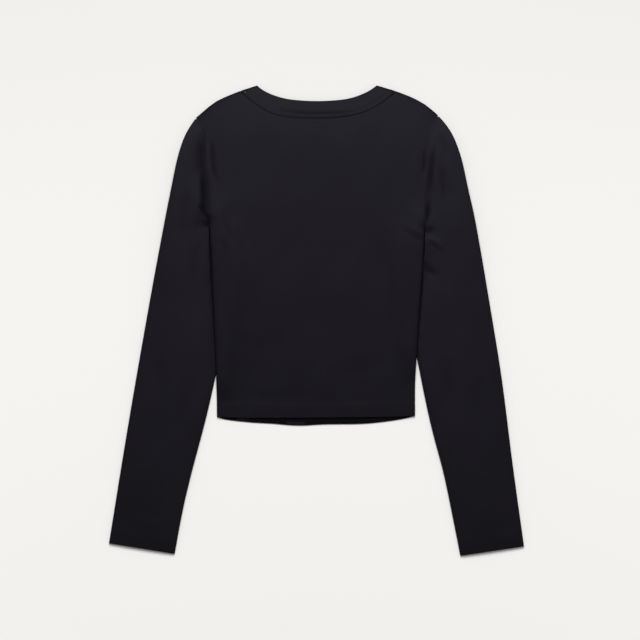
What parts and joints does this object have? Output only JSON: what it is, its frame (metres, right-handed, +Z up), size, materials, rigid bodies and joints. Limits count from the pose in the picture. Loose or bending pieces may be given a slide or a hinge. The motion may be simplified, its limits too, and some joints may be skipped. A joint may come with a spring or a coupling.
{
  "type": "crop top",
  "caption": "Fitted long-sleeved crop top in plain black jersey, laid flat with its back up, the upper sleeves tucked under the sides of the body.",
  "frame": {"origin": "on the surface the top lies on, under the middle of its outline", "axes": "+Y towards the neck, +X towards the sleeve on the right of the picture, +Z up, out of the back of the top"},
  "size_m": [0.581, 0.6581, 0.0074],
  "materials": {
    "black_jersey": "fine matt compact jersey",
    "neckband_jersey": "doubled fine matt jersey"
  },
  "bodies": {
    "root": {"back_panel": "black_jersey", "front_panel": "black_jersey", "sleeve_left": "black_jersey", "sleeve_right": "black_jersey", "neckband": "neckband_jersey"}
  },
  "joints": []
}
